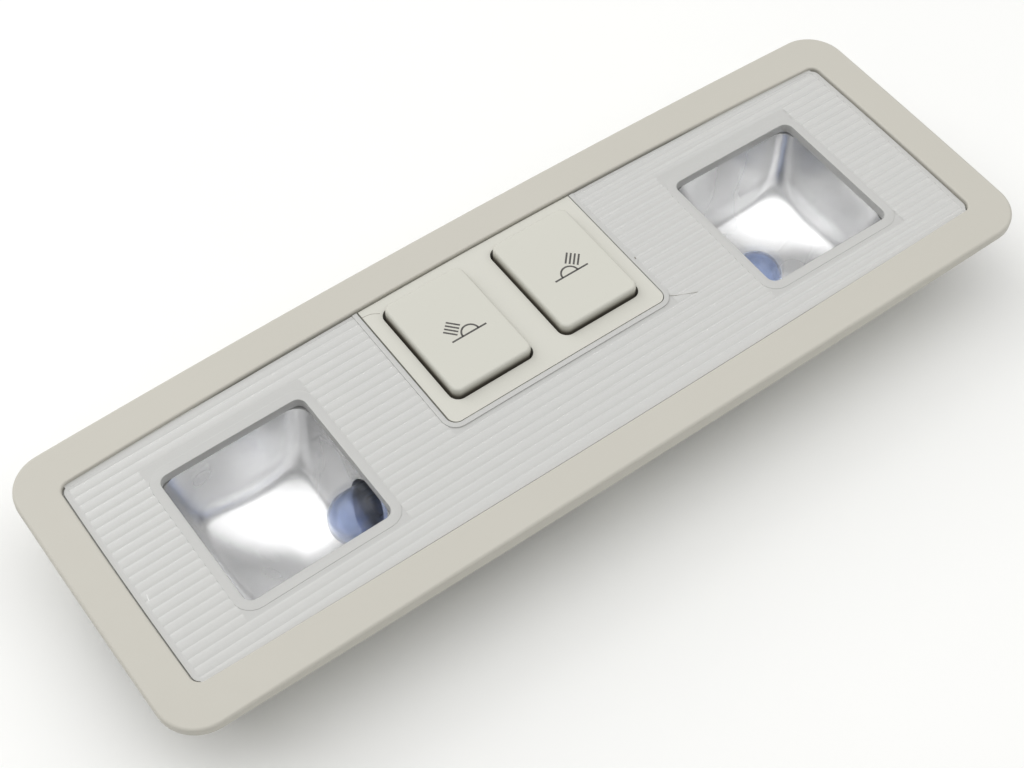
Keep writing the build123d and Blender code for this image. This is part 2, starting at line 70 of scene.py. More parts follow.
class Paint:
    # a small helper round one node tree, so that each material reads top to bottom
    def __init__(self, name):
        self.material = bpy.data.materials.new(name)
        self.material.use_nodes = True
        self.tree = self.material.node_tree
        self.shader = self.tree.nodes["Principled BSDF"]
        self.coords = self.add("ShaderNodeTexCoord").outputs["Object"]

    def add(self, kind, **values):
        node = self.tree.nodes.new(kind)
        for key, value in values.items():
            setattr(node, key, value)
        return node

    def link(self, source, target):
        self.tree.links.new(source, target)

    def set(self, **values):
        for key, value in values.items():
            self.shader.inputs[key.replace("_", " ")].default_value = value
        return self

    def noise(self, scale, detail=3.0, stretch=(1, 1, 1)):
        place = self.add("ShaderNodeMapping")
        place.inputs["Scale"].default_value = stretch
        node = self.add("ShaderNodeTexNoise")
        node.inputs["Scale"].default_value = scale
        node.inputs["Detail"].default_value = detail
        self.link(self.coords, place.inputs["Vector"])
        self.link(place.outputs["Vector"], node.inputs["Vector"])
        return node.outputs["Fac"]

    def color(self, source, dark, light):
        node = self.add("ShaderNodeValToRGB")
        for element, position, color in zip(node.color_ramp.elements, noiseRange, (dark, light)):
            element.position = position
            element.color = color
        self.link(source, node.inputs["Fac"])
        self.link(node.outputs["Color"], self.shader.inputs["Base Color"])

    def paintShadeBelow(self, low, high, color):
        # painted shade up to a height, fading out above it: the colour darkens low on a part's walls,
        # where the gap is in shade
        height = self.add("ShaderNodeSeparateXYZ")
        self.link(self.coords, height.inputs["Vector"])
        fade = self.add("ShaderNodeMapRange", interpolation_type="SMOOTHSTEP")
        fade.inputs["From Min"].default_value = low
        fade.inputs["From Max"].default_value = high
        self.link(height.outputs["Z"], fade.inputs["Value"])
        blend = self.add("ShaderNodeMix", data_type="RGBA")
        target = self.shader.inputs["Base Color"]
        self.link(fade.outputs["Result"], blend.inputs["Factor"])
        blend.inputs[6].default_value = color                  # 6, 7 and 2 are the colour sockets
        self.link(target.links[0].from_socket, blend.inputs[7])
        self.link(blend.outputs[2], target)

    def rough(self, source, low, high):
        node = self.add("ShaderNodeMapRange")
        node.inputs["From Min"].default_value = noiseRange[0]
        node.inputs["From Max"].default_value = noiseRange[1]
        node.inputs["To Min"].default_value = low
        node.inputs["To Max"].default_value = high
        self.link(source, node.inputs["Value"])
        self.link(node.outputs["Result"], self.shader.inputs["Roughness"])

    def bump(self, source, distance):
        node = self.add("ShaderNodeBump")
        node.inputs["Strength"].default_value = 1.0
        node.inputs["Distance"].default_value = distance
        self.link(source, node.inputs["Height"])
        self.link(node.outputs["Normal"], self.shader.inputs["Normal"])


def shade(color, factor):
    return (color[0] * factor, color[1] * factor, color[2] * factor, 1.0)


# moulded interior plastic: soft mottling, spark-eroded grain, slightly uneven sheen, and on request
# painted shade low on the walls
def mouldedPlastic(name, color, mottle=0.012, grain=0.012, paintedShade=None):
    paint = Paint(name)
    cloud = paint.noise(scale=26, detail=2)
    paint.color(cloud, shade(color, 1 - mottle), shade(color, 1 + mottle))
    if paintedShade:
        # painted shade: the walls darken towards their foot, in place of the shade in the gap
        paint.paintShadeBelow(*paintedShade)
    paint.rough(paint.noise(scale=240, detail=2), low=0.5, high=0.6)
    paint.bump(paint.noise(scale=3800, detail=2), distance=grain * mm)
    return paint.set(Specular_IOR_Level=0.35).material


bezelColor = tone(198, 195, 185)
panelColor = tone(209, 208, 199)
buttonColor = tone(207, 206, 196)
lensColor = tone(216, 216, 213)
housingColor = tone(206, 206, 200)

bezelPlastic = mouldedPlastic("bezel_moulding", bezelColor)
panelPlastic = mouldedPlastic("panel_moulding", panelColor)
# painted shade on the buttons' side walls: full at 2.2 mm below the top, none at 0.45 mm
paintedShadeLook = dict(full=2.2, none=0.45, shadeTone=tone(104, 99, 88))  # mm below a button's top
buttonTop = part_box("button_left")[1].z - nodes["button_left"].matrix_world.translation.z
paintedShade = (buttonTop - paintedShadeLook["full"] * mm, buttonTop - paintedShadeLook["none"] * mm, paintedShadeLook["shadeTone"])
buttonPlastic = mouldedPlastic("button_moulding", buttonColor, mottle=0.01, grain=0.008, paintedShade=paintedShade)
housingPlastic = mouldedPlastic("housing_moulding", housingColor, mottle=0.04, grain=0.01)
holderPlastic = mouldedPlastic("holder_moulding", tone(226, 225, 219), mottle=0.03, grain=0.006)


def frostedLens():
    paint = Paint("frosted_lens")
    cloud = paint.noise(scale=14, detail=1)
    paint.color(cloud, *(shade(lensColor, factor) for factor in faintMottle))
    paint.rough(paint.noise(scale=500, detail=2), low=0.48, high=0.58)
    paint.bump(paint.noise(scale=2600, detail=2), distance=0.006 * mm)
    return paint.set(Transmission_Weight=0.22, IOR=1.49).material


def clearWindow():
    paint = Paint("clear_window")
    paint.color(paint.noise(scale=120), tone(246, 248, 251), tone(252, 253, 255))
    paint.rough(paint.noise(scale=60, detail=2), low=0.02, high=0.06)
    # mostly open, so that the lamps reach the bowl
    return paint.set(Transmission_Weight=1.0, IOR=1.49, Alpha=0.12).material


def metallised():
    paint = Paint("metallised_bowl")
    paint.color(paint.noise(scale=160), tone(229, 229, 229), tone(233, 233, 233))
    paint.rough(paint.noise(scale=60, detail=1), low=0.25, high=0.28)
    return paint.set(Metallic=0.85).material


def stampedMetal(name, dark, light, roughLow, roughHigh):
    paint = Paint(name)
    paint.color(paint.noise(scale=300, detail=4), dark, light)
    paint.rough(paint.noise(scale=700, detail=3, stretch=(1, 8, 8)), roughLow, roughHigh)
    paint.bump(paint.noise(scale=2200, detail=2, stretch=(1, 6, 6)), distance=0.004 * mm)
    return paint.set(Metallic=1.0).material


def blueGlass():
    paint = Paint("blue_bulb_glass")
    paint.color(paint.noise(scale=150), tone(198, 214, 249), tone(208, 221, 252))
    paint.rough(paint.noise(scale=600), low=0.02, high=0.07)
    return paint.set(Transmission_Weight=1.0, IOR=1.45, Alpha=0.7).material


def printInk():
    paint = Paint("printed_ink")
    paint.color(paint.noise(scale=1500, detail=3), tone(72, 70, 68), tone(94, 92, 88))
    paint.rough(paint.noise(scale=900), low=0.5, high=0.7)
    return paint.material


def crackLine(name, dark, light):
    paint = Paint(name)
    paint.color(paint.noise(scale=2500, detail=3), dark, light)
    paint.rough(paint.noise(scale=900), low=0.5, high=0.8)
    return paint.material


frosted = frostedLens()
clear = clearWindow()
mirrorCoat = metallised()
brass = stampedMetal("stamped_brass", tone(186, 152, 84), tone(214, 184, 118), 0.22, 0.38)
springSteel = stampedMetal("spring_steel", tone(150, 151, 153), tone(186, 187, 188), 0.2, 0.36)
zincSteel = stampedMetal("zinc_screws", tone(160, 160, 156), tone(196, 196, 190), 0.28, 0.44)
bulbGlass = blueGlass()
tungsten = stampedMetal("tungsten_wire", tone(92, 92, 96), tone(120, 120, 124), 0.3, 0.45)
ink = printInk()
crackDark = crackLine("crack_dirt", tone(104, 98, 88), tone(140, 135, 124))
crackPale = crackLine("crack_pale", tone(150, 148, 141), tone(190, 188, 182))
scratchWhite = crackLine("scratch_white", tone(232, 232, 230), tone(246, 246, 244))


def dress(node, material):
    slots = nodes[node].data.materials
    slots.clear()
    slots.append(material)


for node in ("supply_strip", "ground_strip"):
    dress(node, brass)
dress("bezel", bezelPlastic)
dress("switch_panel", panelPlastic)
dress("housing", housingPlastic)
dress("housing_screws", zincSteel)
for side in sides:
    dress("button_" + side, buttonPlastic)
    dress("contact_bridge_" + side, brass)
    dress("lamp_strip_" + side, brass)
    dress("bulb_holder_" + side, holderPlastic)
    dress("reflector_" + side, mirrorCoat)
    dress("retaining_spring_" + side, springSteel)
    dress("reading_bulb_" + side, bulbGlass)
print("materials done")


# Shared mesh helpers

def newPiece(name, mesh, body, *materials):
    for material in materials:
        mesh.materials.append(material)
    piece = bpy.data.objects.new(name, mesh)
    scene.collection.objects.link(piece)
    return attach(piece, body)


def bakeModifiers(piece):
    graph = bpy.context.evaluated_depsgraph_get()
    mesh = bpy.data.meshes.new_from_object(piece.evaluated_get(graph))
    piece.modifiers.clear()
    piece.data = mesh
    return piece


def roundedBox(halfX, halfY, corner, steps=6):
    points = []
    for quarter, (signX, signY) in enumerate(((1, 1), (-1, 1), (-1, -1), (1, -1))):
        for step in range(steps + 1):
            angle = math.pi / 2 * (quarter + step / steps)
            x = signX * (halfX - corner) + corner * math.cos(angle)
            y = signY * (halfY - corner) + corner * math.sin(angle)
            points.append((x, y))
    return points


# Lens

lensLook = dict(
    thickness=2.0, gap=0.3, flange=1.0, flangeDrop=0.75,        # mm, under the bezel's skin
    endBorder=1.0, sideBorder=0.5, overlap=0.25,
    openingHalf=(84.9, 22.5), openingBow=(0.2, 1.25), corner=1.9,
    windowX=56.2, windowY=-0.3, windowHalf=(14.4, 14.5),
    windowCorner=1.7, windowFrame=1.9, windowRecess=0.2,
    notchHalf=23.95, notchShift=-0.12, notchFront=-6.55, notchCorner=2.0, beadWidth=0.95, beadHeight=0.2,
    ribPitch=1.85, ribCount=25, ribHeight=0.11, ribFloor=0.1, ribSink=0.01, ribArc=1.05, ribStep=1.5,
    ribArcPoints=9, crownSag=1.4, sliceStep=4.0, longSide=4.0, minCorner=0.2,
    edgeRound=0.12, sharpEdge=1.0,                              # the last in radians
)
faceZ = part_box("lens")[1].z / mm - lensLook["beadHeight"]      # crown of the lens at the middle
crownHalf = lensLook["openingHalf"][0]
crownRadius = (crownHalf ** 2 + lensLook["crownSag"] ** 2) / (2 * lensLook["crownSag"])


def crownDrop(x):
    return crownRadius - math.sqrt(crownRadius ** 2 - x * x)


def bowedOutline(growX, growY, steps=48):
    halfX = lensLook["openingHalf"][0] + growX
    halfY = lensLook["openingHalf"][1] + growY
    corner = max(lensLook["corner"] + growX, lensLook["minCorner"])
    bowX, bowY = lensLook["openingBow"]
    base = roundedBox(halfX, halfY, corner)
    points = []
    for start, end in zip(base, base[1:] + base[:1]):
        count = steps if math.dist(start, end) > lensLook["longSide"] else 1    # long sides bow
        for step in range(count):
            x = start[0] + (end[0] - start[0]) * step / count
            y = start[1] + (end[1] - start[1]) * step / count
            x += math.copysign(bowX, x) * max(0, 1 - (y / halfY) ** 2) * (abs(x) > halfX - corner)
            y += math.copysign(bowY, y) * max(0, 1 - (x / halfX) ** 2) * (abs(y) > halfY - corner)
            points.append((x, y))
    return points


def backEdge(x, growX, growY):
    halfX = lensLook["openingHalf"][0] + growX
    return lensLook["openingHalf"][1] + growY + lensLook["openingBow"][1] * (1 - (x / halfX) ** 2)


def openOutline(growX, growY, halfNotch):
    # the opening's outline from the notch's left side, round the lens, to its right side
    points = bowedOutline(growX, growY)
    kept = [p for p in points if not (p[1] > 0 and abs(p[0]) < halfNotch)]
    reach = halfNotch + lensLook["longSide"]
    first = next(i for i, p in enumerate(kept) if p[1] > 0 and -reach < p[0] < 0)
    kept = kept[first:] + kept[:first]
    back = backEdge(halfNotch, growX, growY)
    return [(-halfNotch, back)] + kept + [(halfNotch, back)]


def notchPath(grow, edgeGrow, steps=8):
    # from the right end of the notch, round its front, to the left end
    half = lensLook["notchHalf"] + grow
    front = lensLook["notchFront"] - grow
    corner = lensLook["notchCorner"] + grow
    top = backEdge(half, edgeGrow, edgeGrow)
    points = [(half, top)]
    for sign, start in ((1, 0), (-1, -math.pi / 2)):
        for step in range(steps + 1):
            angle = start - math.pi / 2 * step / steps
            x = sign * (half - corner) + corner * math.cos(angle)
            points.append((x, front + corner + corner * math.sin(angle)))
    return shifted(points + [(-half, top)], lensLook["notchShift"], 0)


def shifted(points, x, y):
    return [(px + x, py + y) for px, py in points]


def slab(name, loops, low, high, edgeRound=0.0, walls=True):
    # a plate from closed loops, the first one outside and the others holes, crowned along X
    flat = [p for loop in loops for p in loop]
    mesh = bmesh.new()
    lower = [mesh.verts.new((x, y, low)) for x, y in flat]
    upper = [mesh.verts.new((x, y, high)) for x, y in flat]
    for triangle in tessellate_polygon([[Vector((x, y, 0)) for x, y in loop] for loop in loops]):
        mesh.faces.new([upper[i] for i in triangle])
        mesh.faces.new([lower[i] for i in reversed(triangle)])
    start = 0
    for loop in loops:
        count = len(loop)
        for i in range(count if walls else 0):
            a = start + i
            b = start + (i + 1) % count
            mesh.faces.new((lower[a], lower[b], upper[b], upper[a]))
        start += count
    bmesh.ops.recalc_face_normals(mesh, faces=mesh.faces)
    if edgeRound:
        rim = [e for e in mesh.edges if min(v.co.z for v in e.verts) > high - tiny]
        rim = [e for e in rim if e.is_manifold and e.calc_face_angle(0) > lensLook["sharpEdge"]]
        bmesh.ops.bevel(
            mesh, geom=rim, offset=edgeRound, segments=3, profile=0.5, affect="EDGES", clamp_overlap=True,
        )
    reach = max(abs(x) for x, y in flat)
    cut = -math.floor(reach / lensLook["sliceStep"]) * lensLook["sliceStep"]
    while cut < reach:
        geometry = mesh.verts[:] + mesh.edges[:] + mesh.faces[:]
        bmesh.ops.bisect_plane(mesh, geom=geometry, plane_co=(cut, 0, 0), plane_no=(1, 0, 0), dist=tiny)
        cut += lensLook["sliceStep"]
    for vert in mesh.verts:
        vert.co.z -= crownDrop(vert.co.x)
        vert.co *= mm
    bmesh.ops.remove_doubles(mesh, verts=mesh.verts, dist=weldGap)
    made = bpy.data.meshes.new(name)
    mesh.to_mesh(made)
    mesh.free()
    return made


def ribRuns():
    # straight runs of rib, cut where the windows and the notch leave no room
    look = lensLook
    end = look["openingHalf"][0] - look["gap"] - look["endBorder"] + look["overlap"]
    room = look["ribPitch"] / 2
    runs = []
    for index in range(look["ribCount"]):
        y = (index - (look["ribCount"] - 1) / 2) * look["ribPitch"]
        blocked = []
        if abs(y - look["windowY"]) < look["windowHalf"][1] + look["windowFrame"] + room:
            for sign in sides.values():
                reach = look["windowHalf"][0] + look["windowFrame"] - look["overlap"]
                blocked.append((sign * look["windowX"] - reach, sign * look["windowX"] + reach))
        if y > look["notchFront"] - look["beadWidth"] - room:
            reach = look["notchHalf"] + look["beadWidth"] - look["overlap"]
            blocked.append((-reach, reach))
        x = -end
        for start, stop in sorted(blocked):
            runs.append((x, start, y))
            x = stop
        runs.append((x, end, y))
    return runs


# Geometry Nodes: sweeps a pillow-shaped section along every run and lays it on the crown
def ribTree():
    tree = bpy.data.node_groups.new("lens_ribs", "GeometryNodeTree")
    face = tree.interface
    face.new_socket("Runs", in_out="INPUT", socket_type="NodeSocketGeometry")
    for title in ("Half Width", "Height", "Step", "Crown Radius", "Floor"):
        face.new_socket(title, in_out="INPUT", socket_type="NodeSocketFloat")
    face.new_socket("Finish", in_out="INPUT", socket_type="NodeSocketMaterial")
    face.new_socket("Ribs", in_out="OUTPUT", socket_type="NodeSocketGeometry")
    add = tree.nodes.new

    def join(source, target):
        tree.links.new(source, target)

    def maths(operation, first, second):
        node = add("ShaderNodeMath")
        node.operation = operation
        for socket, value in zip(node.inputs, (first, second)):
            if isinstance(value, (int, float)):
                socket.default_value = value
            else:
                join(value, socket)
        return node.outputs[0]

    given = add("NodeGroupInput").outputs
    curve = add("GeometryNodeMeshToCurve")
    join(given["Runs"], curve.inputs["Mesh"])
    sample = add("GeometryNodeResampleCurve")
    sample.mode = "LENGTH"
    join(curve.outputs["Curve"], sample.inputs["Curve"])
    join(given["Step"], sample.inputs["Length"])
    upright = add("GeometryNodeSetCurveNormal")
    upright.mode = "Z_UP"
    join(sample.outputs["Curve"], upright.inputs["Curve"])
    arc = add("GeometryNodeCurveArc")
    arc.mode = "RADIUS"
    arc.inputs["Resolution"].default_value = lensLook["ribArcPoints"]
    arc.inputs["Radius"].default_value = 1.0
    half = lensLook["ribArc"]                                   # half the angle of the pillow's arc
    arc.inputs["Start Angle"].default_value = math.pi / 2 - half
    arc.inputs["Sweep Angle"].default_value = 2 * half
    flat = add("GeometryNodeTransform")
    scale = add("ShaderNodeCombineXYZ")
    shift = add("ShaderNodeCombineXYZ")
    rise = 1 - math.cos(half)
    join(maths("DIVIDE", given["Half Width"], math.sin(half)), scale.inputs["X"])
    join(maths("DIVIDE", given["Height"], -rise), scale.inputs["Y"])
    join(maths("MULTIPLY", given["Height"], math.cos(half) / rise), shift.inputs["Y"])
    scale.inputs["Z"].default_value = 1.0
    join(arc.outputs["Curve"], flat.inputs["Geometry"])
    join(scale.outputs["Vector"], flat.inputs["Scale"])
    join(shift.outputs["Vector"], flat.inputs["Translation"])
    sweep = add("GeometryNodeCurveToMesh")
    join(upright.outputs["Curve"], sweep.inputs["Curve"])
    join(flat.outputs["Geometry"], sweep.inputs["Profile Curve"])
    x = add("ShaderNodeSeparateXYZ")
    join(add("GeometryNodeInputPosition").outputs["Position"], x.inputs["Vector"])
    square = maths("MULTIPLY", x.outputs["X"], x.outputs["X"])
    drop = maths("DIVIDE", square, maths("MULTIPLY", given["Crown Radius"], 2.0))
    lift = add("ShaderNodeCombineXYZ")
    join(maths("SUBTRACT", given["Floor"], drop), lift.inputs["Z"])
    lay = add("GeometryNodeSetPosition")
    join(sweep.outputs["Mesh"], lay.inputs["Geometry"])
    join(lift.outputs["Vector"], lay.inputs["Offset"])
    smooth = add("GeometryNodeSetShadeSmooth")
    join(lay.outputs["Geometry"], smooth.inputs["Geometry"])
    real = add("GeometryNodeRealizeInstances")
    join(smooth.outputs["Geometry"], real.inputs["Geometry"])
    finish = add("GeometryNodeSetMaterial")
    join(real.outputs["Geometry"], finish.inputs["Geometry"])
    join(given["Finish"], finish.inputs["Material"])
    join(finish.outputs["Geometry"], add("NodeGroupOutput").inputs["Ribs"])
    return tree


def runNodes(name, mesh, tree, **values):
    # one pass of a node tree over a mesh, baked to a plain mesh
    carrier = bpy.data.objects.new(name, mesh)
    scene.collection.objects.link(carrier)
    modifier = carrier.modifiers.new("nodes", "NODES")
    modifier.node_group = tree
    inputs = [s for s in tree.interface.items_tree if s.item_type == "SOCKET" and s.in_out == "INPUT"]
    sockets = {s.name: s.identifier for s in inputs}
    for title, value in values.items():
        modifier[sockets[title.replace("_", " ")]] = value
    bakeModifiers(carrier)
    made = carrier.data
    bpy.data.objects.remove(carrier)
    return made


def makeRibs():
    look = lensLook
    runs = ribRuns()
    mesh = bpy.data.meshes.new("rib_runs")
    points = [(x * mm, y * mm, 0) for start, end, y in runs for x in (start, end)]
    mesh.from_pydata(points, [(2 * i, 2 * i + 1) for i in range(len(runs))], [])
    return runNodes(
        "lens_ribs", mesh, ribTree(),
        Half_Width=look["ribPitch"] / 2 * mm,
        Height=look["ribHeight"] * mm,
        Step=look["ribStep"] * mm,
        Crown_Radius=crownRadius * mm,
        Floor=(faceZ - look["ribFloor"] - look["ribSink"]) * mm,
        Finish=frosted,
    )


def joined(name, parts, crease=35):
    # several meshes as one, each with the number of its finish; crease in degrees
    whole = bmesh.new()
    for mesh, slot in parts:
        before = len(whole.faces)
        whole.from_mesh(mesh)
        whole.faces.ensure_lookup_table()
        for face in whole.faces[before:]:
            face.material_index = slot
    made = bpy.data.meshes.new(name)
    whole.to_mesh(made)
    whole.free()
    made.shade_smooth()
    made.set_sharp_from_angle(angle=math.radians(crease))
    return made


def makeLens():
    look = lensLook
    edge = -look["gap"]
    lap = look["overlap"]
    top = faceZ
    under = faceZ - look["thickness"]
    floor = faceZ - look["ribFloor"]
    half = look["notchHalf"]
    bead = look["beadWidth"]

    def windowLoops(grow):
        loops = []
        halfX, halfY = look["windowHalf"]
        for sign in sides.values():
            loop = roundedBox(halfX + grow, halfY + grow, look["windowCorner"] + grow)
            loops.append(shifted(loop, sign * look["windowX"], look["windowY"]))
        return loops

    # the ribs' floor lies between rings of full thickness, which lap over it
    body = openOutline(edge - lap, edge - lap, half + lap) + notchPath(lap, edge - lap)[1:-1]
    outer = openOutline(edge, edge, half + bead)
    inner = openOutline(edge - look["endBorder"], edge - look["sideBorder"], half + bead)
    beadLoop = notchPath(bead, edge) + list(reversed(notchPath(0, edge)))
    flange = openOutline(look["flange"], look["flange"], half)
    flange += list(reversed(openOutline(edge - lap, edge - lap, half)))
    parts = [(slab("lens_body", [body] + windowLoops(look["windowFrame"] - lap), under, floor), 0)]
    parts.append((slab("lens_border", [outer + list(reversed(inner))], under, top, look["edgeRound"]), 0))
    parts.append((slab("lens_bead", [beadLoop], under, top + look["beadHeight"], look["edgeRound"]), 0))
    parts.append((slab("lens_flange", [flange], under, top - look["flangeDrop"]), 0))
    for hole, ring in zip(windowLoops(0), windowLoops(look["windowFrame"])):
        parts.append((slab("lens_frame", [ring, hole], under, top, look["edgeRound"]), 0))
        parts.append((slab("lens_pane", [hole], under, top - look["windowRecess"], walls=False), 1))
    parts.append((makeRibs(), 0))
    return joined("lens_moulding", parts)


lens = newPiece("lens_moulding", makeLens(), "light_body", frosted, clear)
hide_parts("lens")
print("lens done:", len(lens.data.polygons), "faces")


# Printed lamp signs on the buttons

signLook = dict(
    baseY=7.0, baseInner=7.16, baseOuter=14.55,                # mm from the middle, mirrored
    shift=dict(left=(-0.05, -0.1), right=(1.2, 0.1)),
    stroke=0.36, domeX=10.55, domeRadius=1.7, domeSteps=16,
    rayCount=4, rayLength=2.6, rayPitch=0.74, rayGap=0.3, rayTilt=47.0,
    printThickness=0.012, proud=0.004,
)


def strip(points, width, low, high):
    # a flat ribbon along a line of points, with its own thickness
    mesh = bmesh.new()
    rows = []
    for index, (x, y) in enumerate(points):
        before = Vector(points[max(index - 1, 0)])
        after = Vector(points[min(index + 1, len(points) - 1)])
        run = (after - before).normalized()
        across = Vector((-run.y, run.x)) * width / 2
        ring = ((1, low), (-1, low), (-1, high), (1, high))
        rows.append([mesh.verts.new((x + s * across.x, y + s * across.y, z)) for s, z in ring])
    for first, second in zip(rows, rows[1:]):
        for side in range(4):
            other = (side + 1) % 4
            mesh.faces.new((first[side], second[side], second[other], first[other]))
    mesh.faces.new(rows[0])
    mesh.faces.new(list(reversed(rows[-1])))
    bmesh.ops.recalc_face_normals(mesh, faces=mesh.faces)
    made = bpy.data.meshes.new("strip")
    mesh.to_mesh(made)
    mesh.free()
    return made


def makeSign(side, sign):
    look = signLook
    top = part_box("button_" + side)[1].z / mm
    high = top + look["proud"]
    low = high - look["printThickness"]
    shiftX, shiftY = look["shift"][side]
    base = look["baseY"] + shiftY
    centre = sign * look["domeX"] + shiftX
    lines = [[(sign * look["baseInner"] + shiftX, base), (sign * look["baseOuter"] + shiftX, base)]]
    dome = []
    for step in range(look["domeSteps"] + 1):
        angle = math.pi * step / look["domeSteps"]
        x = centre + look["domeRadius"] * math.cos(angle)
        dome.append((x, base + look["domeRadius"] * math.sin(angle)))
    lines.append(dome)
    tilt = math.radians(look["rayTilt"])
    out = Vector((math.cos(tilt), math.sin(tilt)))             # the way the rays point
    beside = Vector((-out.y, out.x))
    start = look["domeRadius"] + look["stroke"] / 2 + look["rayGap"]
    for index in range(look["rayCount"]):
        offset = (index - (look["rayCount"] - 1) / 2) * look["rayPitch"]
        near = out * start + beside * offset
        far = near + out * look["rayLength"]
        lines.append([(centre + sign * p.x, base + p.y) for p in (near, far)])
    parts = []
    for line in lines:
        path = [(x * mm, y * mm) for x, y in line]
        parts.append((strip(path, look["stroke"] * mm, low * mm, high * mm), 0))
    piece = newPiece("lamp_sign_" + side, joined("lamp_sign", parts), "button_" + side, ink)


for side, sign in sides.items():
    makeSign(side, sign)
print("signs done")


# Hairline cracks, a scratch and a nick, as thin lines that follow the crown

crackLook = dict(
    panel=[(-23.75, 22.0), (-22.9, 21.95), (-22.1, 21.8), (-21.4, 21.45), (-20.6, 20.9)],
    lens=[(24.1, -5.9), (25.4, -6.7), (26.9, -7.4), (28.1, -7.95), (29.2, -8.35)],
    scratch=[(-83.2, -4.9), (-83.1, -4.2), (-82.95, -3.6)],
    nick=[(24.62, 4.0), (24.7, 4.25), (24.74, 4.5)],
    width=0.09, scratchWidth=0.16, nickWidth=0.2,
    lensLift=0.01, nickLift=0.2, proud=0.012, depth=0.05,
)


def crownLine(name, points, lift, width, material):
    look = crackLook
    line = [(x * mm, y * mm) for x, y in points]
    mesh = strip(line, width * mm, -look["depth"] * mm, look["proud"] * mm)
    for vert in mesh.vertices:
        vert.co.z += (faceZ + lift - crownDrop(vert.co.x / mm)) * mm
    newPiece(name, mesh, "light_body", material)


crownLine("panel_crack", crackLook["panel"], 0.0, crackLook["width"], crackDark)
crownLine("lens_crack", crackLook["lens"], crackLook["lensLift"], crackLook["width"], crackPale)
crownLine("lens_scratch", crackLook["scratch"], 0.0, crackLook["scratchWidth"], scratchWhite)
crownLine("bead_nick", crackLook["nick"], crackLook["nickLift"], crackLook["nickWidth"], crackDark)
print("cracks done")


# Reflectors: metallised bowls that sweep up into their walls without a crease

bowlLook = dict(
    half=(14.9, 15.0), squareness=7.0, focus=12.0, wall=0.85,   # mm
    vertex=2.3, lensGap=0.1, blendStart=0.66, blendPower=3.0,
    rings=44, steps=120, holeRadius=5.7, holeReach=3.4, holeSteps=72, crease=40,
)


def bowlSheet(centre):
    look = bowlLook
    power = look["squareness"]
    mesh = bmesh.new()
    loops = []
    for ring in range(1, look["rings"] + 1):
        share = ring / look["rings"]
        rise = max(0.0, (share - look["blendStart"]) / (1 - look["blendStart"])) ** look["blendPower"]
        loop = []
        for step in range(look["steps"]):
            angle = 2 * math.pi * step / look["steps"]
            norm = (abs(math.cos(angle)) ** power + abs(math.sin(angle)) ** power) ** (1 / power)
            x = look["half"][0] * share * math.cos(angle) / norm
            y = look["half"][1] * share * math.sin(angle) / norm
            bowl = look["vertex"] + (x * x + y * y) / (4 * look["focus"])
            rim = faceZ - lensLook["thickness"] - look["lensGap"] - crownDrop(centre + x)
            loop.append(mesh.verts.new((x, y, bowl + (rim - bowl) * rise)))
        loops.append(loop)
    middle = mesh.verts.new((0, 0, look["vertex"]))
    for step in range(look["steps"]):
        after = (step + 1) % look["steps"]
        mesh.faces.new((middle, loops[0][step], loops[0][after]))
        for inner, outer in zip(loops, loops[1:]):
            mesh.faces.new((inner[step], outer[step], outer[after], inner[after]))
    made = bpy.data.meshes.new("bowl")
    mesh.to_mesh(made)
    mesh.free()
    return made


def makeReflector(side, sign):
    look = bowlLook
    node = "reflector_" + side
    centre = sign * lensLook["windowX"]
    low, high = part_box("reading_bulb_" + side)
    axisY = (low.y + high.y) / 2 / mm - lensLook["windowY"]
    axisZ = (low.z + high.z) / 2 / mm
    piece = newPiece("bowl_" + side, bowlSheet(centre), "light_body", mirrorCoat)
    thick = piece.modifiers.new("wall", "SOLIDIFY")
    thick.thickness = look["wall"]
    thick.offset = -1.0
    drill = bmesh.new()
    radius = look["holeRadius"]
    place = Matrix.Translation((-sign * look["half"][0], axisY, axisZ))
    bmesh.ops.create_cone(
        drill, cap_ends=True, segments=look["holeSteps"], radius1=radius, radius2=radius,
        depth=2 * look["holeReach"], matrix=place @ Matrix.Rotation(math.pi / 2, 4, "Y"),
    )
    tool = bpy.data.objects.new("drill", bpy.data.meshes.new("drill"))
    drill.to_mesh(tool.data)
    drill.free()
    scene.collection.objects.link(tool)
    hole = piece.modifiers.new("hole", "BOOLEAN")
    hole.operation = "DIFFERENCE"
    hole.solver = "EXACT"
    hole.object = tool
    bakeModifiers(piece)
    bpy.data.objects.remove(tool)
    home = Matrix.Translation((centre * mm, lensLook["windowY"] * mm, 0))
    piece.data.transform(home @ Matrix.Scale(mm, 4))
    piece.data.shade_smooth()
    piece.data.set_sharp_from_angle(angle=math.radians(look["crease"]))
    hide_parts(node)


for side, sign in sides.items():
    makeReflector(side, sign)
print("reflectors done")


# Coils, swept along a helix by Geometry Nodes: the return springs and the bulbs' filaments

springLook = dict(turns=6.0, pointsPerTurn=28, wireSides=10, wire=0.3, travel=2.0)    # mm


